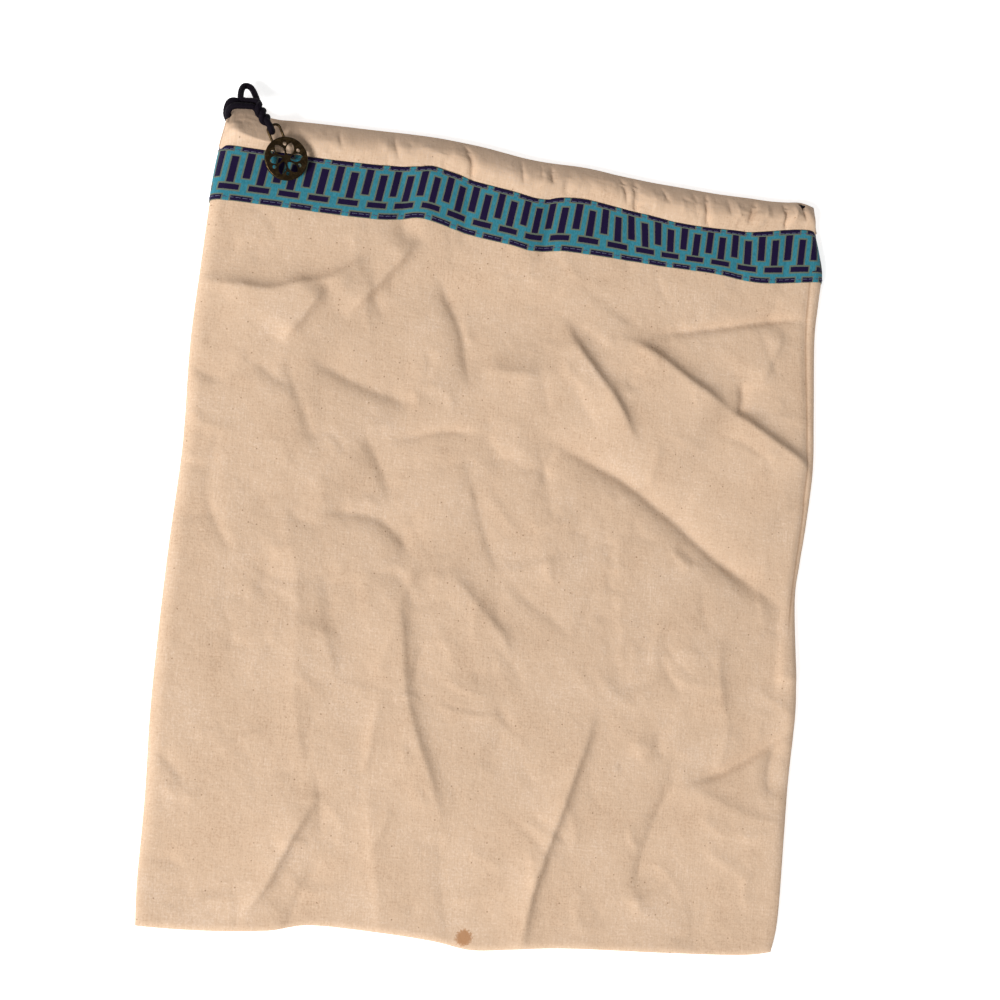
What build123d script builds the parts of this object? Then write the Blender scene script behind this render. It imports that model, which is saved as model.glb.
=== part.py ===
"""Drawstring shoe bag of cotton cloth, lying flat with its mouth towards +Y and its front up.

Frame: X across the bag, Y from the closed end to the mouth, Z up from the underside.
The origin is under the middle of the bag. All sizes are in millimetres.
"""
from build123d import *
import math
import os

# Driving dimensions of the cloth body
HALF_LENGTH = 200.0       # middle of the bag to either end
CLOTH = 0.8               # front cloth, with its nap
BACK_CLOTH = 1.2          # back cloth, which lies on the floor
BODY_TOP = 10.0           # top of the front panel
BODY_CORNERS = [          # plan of both panels, running on past the mouth
    (-162.0, -197.0), (0.0, -200.0), (160.0, -197.0), (164.3, 40.0),
    (159.0, 220.0), (-157.5, 220.0), (-164.3, -60.0),
]
EDGE_SLOPE = 45.0         # lean of the front panel's rim, degrees

# Casing that the drawstring runs in, one tunnel on each side of the mouth
CASING_FOOT = 180.0       # Y where the casings join the panels
CASING_HALF_WIDTH = 155.0
CASING_HEIGHT = 5.0
CASING_LIP_RADIUS = 2.4
MOUTH_GAP = 4.2           # free height between the two casings
TURN_WINDOW = (143.0, 153.5, 190.5, 196.5)            # limits in X and Y of the gap for the cord's turn
SLIT = [(145.6, 196.6), (149.2, 196.8), (148.4, 189.6)]  # plan of the slit at the right end

# Ribbon sewn over the join of panel and casing
RIBBON_WIDTH = 28.0
RIBBON = 0.5
RIBBON_THREAD = 0.25
STITCH_INSET = 1.4        # stitch row to ribbon edge
STITCH_WIDTH = 0.5

# Seams inside the bag
SEAM_INSET = 3.5
SEAM_WIDTH = 6.0
SEAM_HEIGHT = 1.6
SEAM_THREAD = 0.6
SEAM_END = 176.0
SEAM_CORNER = -185.0      # where the side seams meet the end seam
END_SEAM_HALF = 146.0

# Drawstring cord
CORD = 3.0                # diameter
CORD_Y = 193.5            # where it runs in the casings
TURN_X = 150.2            # outermost centre line of the turn at the right
TURN_RADIUS = 4.55
EXIT_X = -155.2           # where both strands leave the casings
FRONT_FOLD_X = -158.4     # where each strand folds back over the corner of the bag
BACK_FOLD_X = -159.6
EXIT_RADIUS = 2.8
LOOP_RADIUS = 2.2
TUCK_RADIUS = 2.0
FRONT_BEND_RADIUS = 12.0
TAIL_START_FRONT = (EXIT_X, 199.0, 16.1)
TAIL_START_BACK = (EXIT_X, 201.5, 13.2)
FRONT_STRAND = [TAIL_START_FRONT, (-149.5, 199.0, 16.1), (-143.9, 199.5, 17.8)]
BACK_STRAND = [           # with the small standing loop
    TAIL_START_BACK, (-151.9, 201.5, 13.2), (-150.9, 211.4, 6.6), (-146.3, 211.4, 6.6),
    (-143.6, 203.0, 13.4), (-143.4, 199.8, 17.6),
]

# Knot of the twisted strands, and the bight that holds the charm
KNOT_START = Vector(-143.5, 199.6, 17.9)
KNOT_END = Vector(-138.9, 194.1, 18.2)
KNOT_RADIUS = 3.2
BIGHT_RADIUS = 2.35
BIGHT_LENGTH = 3.4        # straight part of the bight, from the knot to the bail bar

# Round openwork charm
BAR_CENTRE = Vector(-135.3, 189.6, 18.3)
CHARM_TURN = -60.0        # heading of the charm in plan, degrees
CHARM_DIP = 9.5           # its slope down towards the ribbon, degrees
CHARM_REACH = 17.3        # bail bar to the middle of the disc
CHARM_RADIUS = 10.75
CHARM_RIM = 2.0
CHARM_RIM_HEIGHT = 1.8
CHARM_RIM_ROUNDING = 0.6
CHARM_WEB_HEIGHT = 1.3
OPENINGS = 6              # pointed openings in a ring, with a round hole between each two
OPENING_START = 1.9       # from the middle of the disc
OPENING_LENGTH = 6.6
OPENING_HALF_WIDTH = 2.0
OPENING_LEAN = 24.0       # degrees
HOLE_DISTANCE = 7.3
HOLE_TURN = 43.0          # from an opening to the hole after it, degrees
HOLE_RADIUS = 0.95
BAIL_WIRE = 1.35
BAIL_SPAN = 6.3           # between the centre lines of the legs
BAIL_SHOULDER = 2.2
BAIL_FOOT = 1.2           # how far the legs reach over the rim

FRONT_CASING_Z = BODY_TOP - CLOTH
BACK_CASING_Z = FRONT_CASING_Z - MOUTH_GAP - CASING_HEIGHT
FRONT_RUN_Z = FRONT_CASING_Z + CASING_HEIGHT / 2
BACK_RUN_Z = BACK_CASING_Z + CASING_HEIGHT / 2
RIBBON_FOOT = CASING_FOOT - RIBBON_WIDTH
WIDE = 500.0              # longer than the bag, for cutting
LEVEL = 60.0              # higher than the bag, for cutting
OVERCUT = 0.1


def block(x_low, x_high, y_low, y_high, z_low, z_high):
    """Box given by its limits along each axis."""
    size = (x_high - x_low, y_high - y_low, z_high - z_low)
    middle = ((x_low + x_high) / 2, (y_low + y_high) / 2, (z_low + z_high) / 2)
    return Pos(*middle) * Box(*size)


def across(y_low, y_high, z_low=-LEVEL, z_high=LEVEL):
    """Box over the whole width of the bag, between two Y limits."""
    return block(-WIDE, WIDE, y_low, y_high, z_low, z_high)


def plan(grow):
    """Plan of the body, moved outward by grow."""
    sheet = Polygon(*BODY_CORNERS, align=None)
    return offset(sheet, amount=grow, kind=Kind.INTERSECTION) if grow else sheet


def pillow(grow):
    """Solid under the front panel's outer face, moved outward by grow."""
    rise = BODY_TOP + grow - BACK_CLOTH
    return extrude(Plane.XY.offset(BACK_CLOTH) * plan(grow), amount=rise, taper=EDGE_SLOPE)


def slab(z_low, z_high):
    """Flat solid on the body's plan."""
    return extrude(Plane.XY.offset(z_low) * plan(0), amount=z_high - z_low)


def edge_band(outer, inner, height):
    """Band inside the body's edge, standing on the back panel."""
    ring = plan(-outer) - plan(-inner)
    return extrude(Plane.XY.offset(BACK_CLOTH) * ring, amount=height)


def tube(points, radii, diameter=CORD):
    """Round cord along straight runs joined by tangent arcs."""
    for radius in radii:
        print(f"  arc radius {radius:.2f} mm, {radius / diameter:.1f} diameters")
    path = FilletPolyline(*points, radius=radii) if radii else Line(*points)
    start = Plane(origin=path @ 0, z_dir=path % 0)
    return sweep(start * Circle(diameter / 2), path=path)


def capsule(start, end, radius):
    """Cylinder with round ends."""
    axis = end - start
    barrel = Plane(origin=start, z_dir=axis) * Cylinder(
        radius, axis.length, align=(Align.CENTER, Align.CENTER, Align.MIN)
    )
    return barrel + Pos(*start) * Sphere(radius) + Pos(*end) * Sphere(radius)


def front_panel():
    """Front cloth with its rim turned down to the side and end seams."""
    shell = pillow(0) - pillow(-CLOTH)
    return shell - across(CASING_FOOT, WIDE)


def back_panel():
    """Back cloth, with a shallow step where the back ribbon lies."""
    cloth = slab(0, BACK_CLOTH) - across(CASING_FOOT, WIDE)
    return cloth - across(RIBBON_FOOT, CASING_FOOT, -1, RIBBON + RIBBON_THREAD)


def casing(z_low):
    """Flat tunnel along the mouth, open at both ends, with a rounded lip."""
    depth = HALF_LENGTH - CASING_FOOT
    centre = (CASING_FOOT + depth / 2, z_low + CASING_HEIGHT / 2)
    outer = Plane.YZ * Pos(*centre) * Rectangle(depth, CASING_HEIGHT)
    inner = Plane.YZ * Pos(*centre) * Rectangle(depth - 2 * CLOTH, CASING_HEIGHT - 2 * CLOTH)
    lip = fillet(outer.vertices().group_by(Axis.Y)[-1], CASING_LIP_RADIUS)
    bore = fillet(inner.vertices().group_by(Axis.Y)[-1], CASING_LIP_RADIUS - CLOTH)
    return extrude(lip - bore, amount=CASING_HALF_WIDTH, both=True)


def turn_window():
    """Gap in both casings' facing walls, where the cord passes from one tunnel to the other."""
    low = FRONT_CASING_Z - MOUTH_GAP - CLOTH
    return block(*TURN_WINDOW, low - OVERCUT, FRONT_CASING_Z + CLOTH + OVERCUT)


def front_casing():
    """Front tunnel, with the small slit at its right end."""
    face = Plane.XY.offset(FRONT_CASING_Z + CASING_HEIGHT - CLOTH - OVERCUT)
    slit = extrude(face * Polygon(*SLIT, align=None), amount=CASING_HEIGHT)
    return casing(FRONT_CASING_Z) - turn_window() - slit


def back_casing():
    """Back tunnel, lying on the floor."""
    return casing(BACK_CASING_Z) - turn_window()


def front_ribbon_layer(low, high, y_low, y_high):
    """Layer that follows the front panel's outer face between two Y limits."""
    return (pillow(high) - pillow(low)) & across(y_low, y_high)


def stitch_rows():
    """Y limits of the two stitch rows of a ribbon."""
    foot = RIBBON_FOOT + STITCH_INSET
    head = CASING_FOOT - STITCH_INSET
    return {"bottom": (foot, foot + STITCH_WIDTH), "top": (head - STITCH_WIDTH, head)}


def ribbons():
    """Front and back ribbon with their four stitch rows."""
    body = slab(0, BODY_TOP)
    nodes = {
        "front_ribbon": front_ribbon_layer(0, RIBBON, RIBBON_FOOT, CASING_FOOT),
        "back_ribbon": body & across(RIBBON_FOOT, CASING_FOOT, RIBBON_THREAD, RIBBON_THREAD + RIBBON),
    }
    for row, (y_low, y_high) in stitch_rows().items():
        nodes[f"front_ribbon_{row}_thread"] = front_ribbon_layer(
            RIBBON, RIBBON + RIBBON_THREAD, y_low, y_high)
        nodes[f"back_ribbon_{row}_thread"] = body & across(y_low, y_high, 0, RIBBON_THREAD)
    return nodes


def seams():
    """Turned-in seam allowances of the two sides and the closed end, each with its thread."""
    allowance = edge_band(SEAM_INSET, SEAM_INSET + SEAM_WIDTH, SEAM_HEIGHT)
    thread = edge_band(SEAM_INSET - SEAM_THREAD, SEAM_INSET, SEAM_THREAD)
    stretches = {
        "left": block(-WIDE, 0, SEAM_CORNER, SEAM_END, 0, LEVEL),
        "right": block(0, WIDE, SEAM_CORNER, SEAM_END, 0, LEVEL),
        "bottom": block(-END_SEAM_HALF, END_SEAM_HALF, -WIDE, SEAM_CORNER - 1, 0, LEVEL),
    }
    nodes = {}
    for side, stretch in stretches.items():
        nodes[f"{side}_seam_allowance"] = allowance & stretch
        nodes[f"{side}_seam_thread"] = thread & stretch
    return nodes


def drawstring_inner():
    """The cord inside the casings: out along the front, round at the right, and back."""
    return tube(
        [(EXIT_X, CORD_Y, FRONT_RUN_Z), (TURN_X, CORD_Y, FRONT_RUN_Z),
         (TURN_X, CORD_Y, BACK_RUN_Z), (EXIT_X, CORD_Y, BACK_RUN_Z)],
        [TURN_RADIUS, TURN_RADIUS],
    )


def fold_over(run_z, fold_x, end):
    """One strand from its casing, folding back over the corner of the bag."""
    return tube(
        [(EXIT_X, CORD_Y, run_z), (fold_x, CORD_Y, run_z), (fold_x, end[1], end[2]), end],
        [EXIT_RADIUS, EXIT_RADIUS],
    )


def drawstring_exit_bend():
    """Both strands folding back over the corner of the bag."""
    return Compound(children=[
        fold_over(FRONT_RUN_Z, FRONT_FOLD_X, TAIL_START_FRONT),
        fold_over(BACK_RUN_Z, BACK_FOLD_X, TAIL_START_BACK),
    ])


def drawstring_tail():
    """Both strands along the edge of the casing, the back one with the small standing loop."""
    front = tube(FRONT_STRAND, [FRONT_BEND_RADIUS])
    back = tube(BACK_STRAND, [TUCK_RADIUS, LOOP_RADIUS, LOOP_RADIUS, TUCK_RADIUS])
    knot = capsule(KNOT_START, KNOT_END, KNOT_RADIUS)
    return Compound(children=[front - knot, back - knot])


def heading(turn, dip):
    """Unit vector at a turn from +X in plan and a dip below the level, degrees."""
    level = math.cos(math.radians(dip))
    return Vector(
        level * math.cos(math.radians(turn)),
        level * math.sin(math.radians(turn)),
        -math.sin(math.radians(dip)),
    )


def bight_path():
    """Centre line of the strand that goes round the bail bar, from the knot and back to it."""
    along = heading(CHARM_TURN, 0)
    upright = Vector(0, 0, BIGHT_RADIUS)
    back = along * -BIGHT_LENGTH
    over = BAR_CENTRE + upright
    under = BAR_CENTRE - upright
    arc = ThreePointArc(over, BAR_CENTRE + along * BIGHT_RADIUS, under)
    return Wire([Line(over + back, over), arc, Line(under, under + back)])


def drawstring_bight():
    """End turn of the cord round the bail bar."""
    path = bight_path()
    start = Plane(origin=path @ 0, z_dir=path % 0)
    turn = sweep(start * Circle(CORD / 2), path=path)
    return turn - capsule(KNOT_START, KNOT_END, KNOT_RADIUS)


def drawstring_knot():
    """Outer shape of the two strands twisted round each other."""
    return capsule(KNOT_START, KNOT_END, KNOT_RADIUS)


def charm_plane():
    """Plane of the charm: X from the bail bar to the disc, Z out of its face."""
    side = heading(CHARM_TURN + 90, 0)
    along = heading(CHARM_TURN, CHARM_DIP)
    return Plane(origin=BAR_CENTRE, x_dir=along, z_dir=along.cross(side))


def pointed_oval(length, half_width):
    """Pointed oval from the origin along X."""
    half = length / 2
    radius = (half * half + half_width * half_width) / (2 * half_width)
    lift = radius - half_width
    return (Pos(half, lift) * Circle(radius)) & (Pos(half, -lift) * Circle(radius))


def charm_medallion():
    """Cast disc: a heavy rim round a plate with a ring of leaning openings."""
    inner = CHARM_RADIUS - CHARM_RIM
    rim = extrude(Circle(CHARM_RADIUS) - Circle(inner), amount=CHARM_RIM_HEIGHT / 2, both=True)
    outline = rim.edges().filter_by(GeomType.CIRCLE).group_by(SortBy.RADIUS)[-1]
    rim = fillet(outline, CHARM_RIM_ROUNDING)
    web = Circle(inner + OVERCUT)
    opening = Pos(OPENING_START, 0) * Rot(0, 0, OPENING_LEAN) * pointed_oval(OPENING_LENGTH, OPENING_HALF_WIDTH)
    for step in range(OPENINGS):
        turn = 360 / OPENINGS * step
        web -= Rot(0, 0, turn) * opening
        web -= Rot(0, 0, turn + HOLE_TURN) * Pos(HOLE_DISTANCE, 0) * Circle(HOLE_RADIUS)
    disc = rim + extrude(web, amount=CHARM_WEB_HEIGHT / 2, both=True)
    return charm_plane() * Pos(CHARM_REACH, 0, 0) * disc


def charm_bail():
    """Bent wire: a bar that the cord goes round, and two legs down to the rim."""
    half = BAIL_SPAN / 2
    foot = CHARM_REACH - CHARM_RADIUS + BAIL_FOOT
    path = FilletPolyline(
        (foot, -half, 0), (0, -half, 0), (0, half, 0), (foot, half, 0),
        radius=[BAIL_SHOULDER, BAIL_SHOULDER],
    )
    start = Plane(origin=path @ 0, z_dir=path % 0)
    wire = sweep(start * Circle(BAIL_WIRE / 2), path=path)
    disc = Pos(CHARM_REACH, 0, 0) * Cylinder(CHARM_RADIUS, 2 * CHARM_RIM_HEIGHT)
    return charm_plane() * (wire - disc)


nodes = {
    "front_panel": front_panel(),
    "back_panel": back_panel(),
    "front_casing": front_casing(),
    "back_casing": back_casing(),
    **ribbons(),
    **seams(),
    "drawstring_inner": drawstring_inner(),
    "drawstring_exit_bend": drawstring_exit_bend(),
    "drawstring_tail": drawstring_tail(),
    "drawstring_knot": drawstring_knot(),
    "drawstring_bight": drawstring_bight(),
    "charm_medallion": charm_medallion(),
    "charm_bail": charm_bail(),
}

os.makedirs("parts", exist_ok=True)
for name, shape in nodes.items():
    export_step(shape, f"parts/{name}.step")
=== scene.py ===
import math

import bpy
import numpy as np
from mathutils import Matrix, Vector


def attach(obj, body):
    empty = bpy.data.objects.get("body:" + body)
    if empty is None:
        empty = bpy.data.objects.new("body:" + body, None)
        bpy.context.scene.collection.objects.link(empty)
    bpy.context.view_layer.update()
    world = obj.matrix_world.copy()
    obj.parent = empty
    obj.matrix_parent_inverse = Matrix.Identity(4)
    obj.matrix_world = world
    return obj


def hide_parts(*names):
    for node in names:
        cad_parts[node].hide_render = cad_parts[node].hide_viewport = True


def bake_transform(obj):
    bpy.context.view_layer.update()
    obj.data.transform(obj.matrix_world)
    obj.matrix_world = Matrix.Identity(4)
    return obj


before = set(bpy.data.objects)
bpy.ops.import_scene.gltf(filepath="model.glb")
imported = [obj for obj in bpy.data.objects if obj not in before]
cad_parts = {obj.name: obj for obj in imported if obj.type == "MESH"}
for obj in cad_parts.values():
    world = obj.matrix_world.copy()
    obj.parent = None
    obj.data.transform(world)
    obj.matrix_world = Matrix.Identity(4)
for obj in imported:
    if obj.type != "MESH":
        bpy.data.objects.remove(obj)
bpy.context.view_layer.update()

# All sizes and places below are in millimetres unless a comment says otherwise.
MM = 0.001

# Camera, in metres and degrees
CAMERA_PLACE = (-0.1968, -0.0870, 0.8303)
CAMERA_TURN = (6.08, -13.73, 4.62)
CAMERA_LENS = 61.2

# Cloth body
SEAM_LEVEL = 2.3          # height of the seam where front and back cloth meet
FRONT_EQUATOR = 3.4       # height where the front cloth's rim stands out furthest
BACK_EQUATOR = 1.2
BACK_LEVEL = 0.1          # underside of the back cloth
BODY_LEVEL = 7.6          # front cloth, without its creases
RIBBON_LEVEL = 9.6        # front cloth under the ribbon
END_DROP = 2.0            # the front cloth lies this much lower at the closed end
RIM = 6.5                 # width of the rounded rim at the sides
END_RIM = 3.6             # and at the closed end
RIM_COLUMNS = 14
TUCK = 30                 # how far the rim turns in under its widest place, degrees
CLOTH = 0.7
CELL = 1.2                # mesh spacing of the large sheets

LEFT_EDGE = [(-200, -161), (-180, -162.2), (-140, -162.6), (-100, -164.2), (-60, -164.2), (-20, -163.5),
             (20, -162), (40, -162), (80, -163.2), (120, -162), (160, -160.4), (180, -158.6), (190, -157),
             (200, -155.4)]
RIGHT_EDGE = [(-200, 157), (-180, 159.8), (-120, 160.8), (-80, 162.8), (-60, 162), (-20, 159), (0, 160.5),
              (20, 162.8), (50, 165), (80, 163.8), (120, 161.8), (140, 162.6), (155, 163.4), (168, 161),
              (180, 158), (190, 156.9), (200, 155)]
BOTTOM_EDGE = [(-165, -196.5), (-160, -198), (-130, -198.8), (-100, -197.5), (-80, -194), (-50, -195.5),
               (-20, -198.5), (0, -202), (20, -201), (40, -199.5), (60, -199), (100, -199), (140, -198.3),
               (158, -196), (166, -194.5)]
RIBBON_FOOT = [(-170, 151), (-150, 151.6), (-130, 151.9), (-100, 152), (-80, 152.6), (-72, 153.5),
               (-65, 155), (-58, 156.3), (-50, 155.5), (-40, 153.6), (-30, 151.7), (-20, 150.4),
               (-10, 149.5), (0, 148), (10, 149), (20, 150.2), (45, 150.3), (75, 149.8), (100, 149.8),
               (112, 149.1), (125, 148.3), (135, 149.3), (150, 151.7), (160, 153.4), (170, 155)]
RIBBON_HEAD = [(-170, 179), (-150, 179.2), (-110, 179.4), (-90, 180), (-80, 180.5), (-70, 181.5),
               (-60, 182.8), (-53, 184), (-45, 182.8), (-38, 181.6), (-30, 179.8), (-20, 178.5),
               (-10, 177.4), (0, 175.8), (7, 176), (15, 178), (24, 178.9), (32, 178.8), (50, 176.9),
               (60, 176), (80, 174.1), (95, 173.8), (110, 174.5), (120, 175), (130, 176.8), (140, 179),
               (150, 180.4), (170, 180.8)]
CASING_LIP = [(-170, 194), (-157, 195), (-155, 197.8), (-152, 199.5), (-148, 200.1), (-143, 199.3),
              (-138, 197.3), (-131, 196.7), (-125, 197.1), (-110, 197.9), (-95, 198.5), (-80, 199.1),
              (-65, 199.8), (-50, 200.1), (-35, 199.5), (-25, 198.8), (-15, 197.7), (-5, 196.6),
              (5, 196.1), (15, 196.3), (25, 196.6), (35, 196.2), (45, 195.3), (55, 194.7), (65, 194.2),
              (80, 193.9), (100, 193.5), (120, 193.9), (130, 194), (140, 194.8), (148, 195.8),
              (156, 194.5), (170, 190)]


# Camera

def add_camera():
    camera = bpy.data.objects.new("camera", bpy.data.cameras.new("camera"))
    bpy.context.scene.collection.objects.link(camera)
    camera.location = CAMERA_PLACE
    camera.rotation_euler = [math.radians(angle) for angle in CAMERA_TURN]
    camera.data.lens = CAMERA_LENS
    camera.data.sensor_width = 36
    camera.data.clip_start = 0.01
    bpy.context.scene.camera = camera


add_camera()


# Curves, meshes and tubes

def smooth(t):
    """0 before 0 and 1 after 1, with a soft turn between."""
    t = np.clip(t, 0, 1)
    return t * t * (3 - 2 * t)


def risen(at, start, end):
    """Goes softly from 0 to 1 as the place goes from start to end."""
    return smooth((at - start) / (end - start))


def soft_floor(heights, least, softness):
    """Heights that level off softly where they come down to the least."""
    return least + np.logaddexp(0, (heights - least) / softness) * softness


def curve_through(points, step=1.0):
    """Closely spaced points on a smooth curve through the given points."""
    p = np.array(points, float)
    p = np.vstack([2 * p[0] - p[1], p, 2 * p[-1] - p[-2]])
    spans = []
    for a, b, c, d in zip(p, p[1:], p[2:], p[3:]):
        count = max(2, int(np.linalg.norm(c - b) / step))
        t = np.linspace(0, 1, count, endpoint=False)[:, None]
        square, cube = 2 * a - 5 * b + 4 * c - d, 3 * b - a - 3 * c + d
        spans.append(b + ((c - a) * t + square * t**2 + cube * t**3) / 2)
    return np.vstack(spans + [p[-2:-1]])


def graph(points):
    """The function whose smooth curve goes through the given places."""
    line = curve_through(points, (points[-1][0] - points[0][0]) / 400)
    return lambda at: np.interp(at, line[:, 0], line[:, 1])


left_edge, right_edge = graph(LEFT_EDGE), graph(RIGHT_EDGE)
bottom_edge, casing_lip = graph(BOTTOM_EDGE), graph(CASING_LIP)
ribbon_foot, ribbon_head = graph(RIBBON_FOOT), graph(RIBBON_HEAD)


def add_mesh(name, points, faces, material, uv=None):
    """A smooth mesh from points in millimetres; uv has one place for each point."""
    mesh = bpy.data.meshes.new(name)
    mesh.from_pydata((np.asarray(points) * MM).tolist(), [], faces)
    mesh.polygons.foreach_set("use_smooth", [True] * len(mesh.polygons))
    if uv is not None:
        corner = np.zeros(len(mesh.loops), np.int32)
        mesh.loops.foreach_get("vertex_index", corner)
        layer = mesh.uv_layers.new(name="place")
        layer.data.foreach_set("uv", np.asarray(uv, np.float32)[corner].ravel())
    mesh.materials.append(material)
    piece = bpy.data.objects.new(name, mesh)
    bpy.context.scene.collection.objects.link(piece)
    return piece


def grid_faces(rows, columns, first=0, around=False):
    """Quads over a grid of points, row by row; around joins each row's last point to its first."""
    index = np.arange(rows * columns).reshape(rows, columns) + first
    if around:
        index = np.hstack([index, index[:, :1]])
    quads = np.stack([index[:-1, :-1], index[:-1, 1:], index[1:, 1:], index[1:, :-1]], -1)
    return quads.reshape(-1, 4).tolist()


def add_sheet(name, points, uv, material, flip=False, taken=()):
    """A sheet over a grid of points, without the faces taken out, which are given by row and column."""
    rows, columns = points.shape[:2]
    faces = grid_faces(rows, columns)
    open_faces = {row * (columns - 1) + column for row, column in taken}
    faces = [face for k, face in enumerate(faces) if k not in open_faces]
    if flip:
        faces = [face[::-1] for face in faces]
    return add_mesh(name, points.reshape(-1, 3), faces, material, uv.reshape(-1, 2))


def grid_normals(points):
    """Unit normals of a grid of points, upward where its rows run along +Y and its columns along +X."""
    normal = np.cross(np.gradient(points, axis=1), np.gradient(points, axis=0))
    return normal / np.maximum(np.linalg.norm(normal, axis=2, keepdims=True), 1e-9)


def thicken(piece, thickness, side=-1):
    """Gives a sheet its thickness, on the side away from its normals for -1."""
    shell = piece.modifiers.new("thickness", "SOLIDIFY")
    shell.thickness = thickness * MM
    shell.offset = side


def directions_across(line):
    """Tangents of a line and two directions across it, carried along without twist."""
    along = np.gradient(line, axis=0)
    along /= np.linalg.norm(along, axis=1, keepdims=True)
    side = np.cross(along[0], (0, 0, 1.0))
    if np.linalg.norm(side) < 0.1:
        side = np.cross(along[0], (0, 1.0, 0))
    sides = []
    for tangent in along:
        side = side - (side @ tangent) * tangent
        side = side / np.linalg.norm(side)
        sides.append(side)
    sides = np.array(sides)
    return along, sides, np.cross(along, sides)


def tube_parts(line, radius, sides, first=0):
    """Points, faces and places of a closed tube; radius may be a function of run and turn."""
    line = np.asarray(line, float)
    _, side, over = directions_across(line)
    run = np.r_[0, np.cumsum(np.linalg.norm(np.diff(line, axis=0), axis=1))]
    turn = np.linspace(0, 2 * np.pi, sides, endpoint=False)
    size = radius(run[:, None], turn[None, :]) if callable(radius) else np.full((len(line), sides), radius)
    ring = np.cos(turn)[None, :, None] * side[:, None] + np.sin(turn)[None, :, None] * over[:, None]
    body = (line[:, None] + size[:, :, None] * ring).reshape(-1, 3)
    points = np.vstack([body, line[:1], line[-1:]])
    faces = grid_faces(len(line), sides, first, around=True)
    start, end = first + len(body), first + len(body) + 1
    last = first + (len(line) - 1) * sides
    for k in range(sides):
        after = (k + 1) % sides
        faces.append([start, first + after, first + k])
        faces.append([end, last + k, last + after])
    places = np.stack(np.broadcast_arrays(run[:, None], turn[None, :]), -1).reshape(-1, 2)
    places = np.vstack([places, [[run[0], 0]], [[run[-1], 0]]])
    return points, faces, places


def add_tube(name, line, radius, sides, material):
    points, faces, places = tube_parts(line, radius, sides)
    return add_mesh(name, points, faces, material, places)


def spline_line(route, step):
    """Points about step apart on the smooth spline that has the route as its control points."""
    curve = bpy.data.curves.new("route", "CURVE")
    curve.dimensions = "3D"
    curve.resolution_u = 24
    spline = curve.splines.new("NURBS")
    spline.points.add(len(route) - 1)
    for point, place in zip(spline.points, route):
        point.co = (*place, 1)
    spline.order_u = 3
    spline.use_endpoint_u = True
    holder = bpy.data.objects.new("route", curve)
    mesh = bpy.data.meshes.new_from_object(holder)
    line = np.array([vertex.co for vertex in mesh.vertices], float)
    bpy.data.objects.remove(holder)
    bpy.data.curves.remove(curve)
    bpy.data.meshes.remove(mesh)
    run = np.r_[0, np.cumsum(np.linalg.norm(np.diff(line, axis=0), axis=1))]
    at = np.linspace(0, run[-1], int(run[-1] / step) + 1)
    return np.stack([np.interp(at, run, line[:, k]) for k in range(3)], axis=1)


# Shader numbers and materials

class Value:
    """A number made by shader nodes, which can be added, multiplied and compared."""

    def __init__(self, tree, socket):
        self.tree = tree
        self.socket = socket

    def math(self, operation, *others):
        node = self.tree.nodes.new("ShaderNodeMath")
        node.operation = operation
        for place, item in zip(node.inputs, (self, *others)):
            if isinstance(item, Value):
                self.tree.links.new(item.socket, place)
            else:
                place.default_value = item
        return Value(self.tree, node.outputs[0])

    def __add__(self, other):
        return self.math("ADD", other)

    def __sub__(self, other):
        return self.math("SUBTRACT", other)

    def __mul__(self, other):
        return self.math("MULTIPLY", other)

    def __abs__(self):
        return self.math("ABSOLUTE")

    def least(self, other):
        return self.math("MINIMUM", other)

    def most(self, other):
        return self.math("MAXIMUM", other)

    def wrapped(self, period):
        """Distance to the nearest whole number of periods."""
        return abs((self + period / 2).math("FLOORED_MODULO", period) - period / 2)

    def snapped(self, cell):
        """The middle of the cell that the number is in."""
        return (self * (1 / cell)).math("FLOOR") * cell + cell / 2

    def wave(self, period):
        """A wave between -1 and 1."""
        return (self * (2 * math.pi / period)).math("SINE")

    def ramp(self, low, high, at_low=0.0, at_high=1.0):
        """Goes softly from at_low to at_high as the number goes from low to high."""
        node = self.tree.nodes.new("ShaderNodeMapRange")
        node.interpolation_type = "SMOOTHSTEP"
        self.tree.links.new(self.socket, node.inputs[0])
        for place, number in zip(node.inputs[1:5], (low, high, at_low, at_high)):
            place.default_value = number
        return Value(self.tree, node.outputs[0])


def linear(red, green, blue):
    """A colour from its 0 to 255 screen numbers."""
    shares = [number / 255 for number in (red, green, blue)]
    return [s / 12.92 if s <= 0.04045 else ((s + 0.055) / 1.055) ** 2.4 for s in shares] + [1.0]


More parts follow.
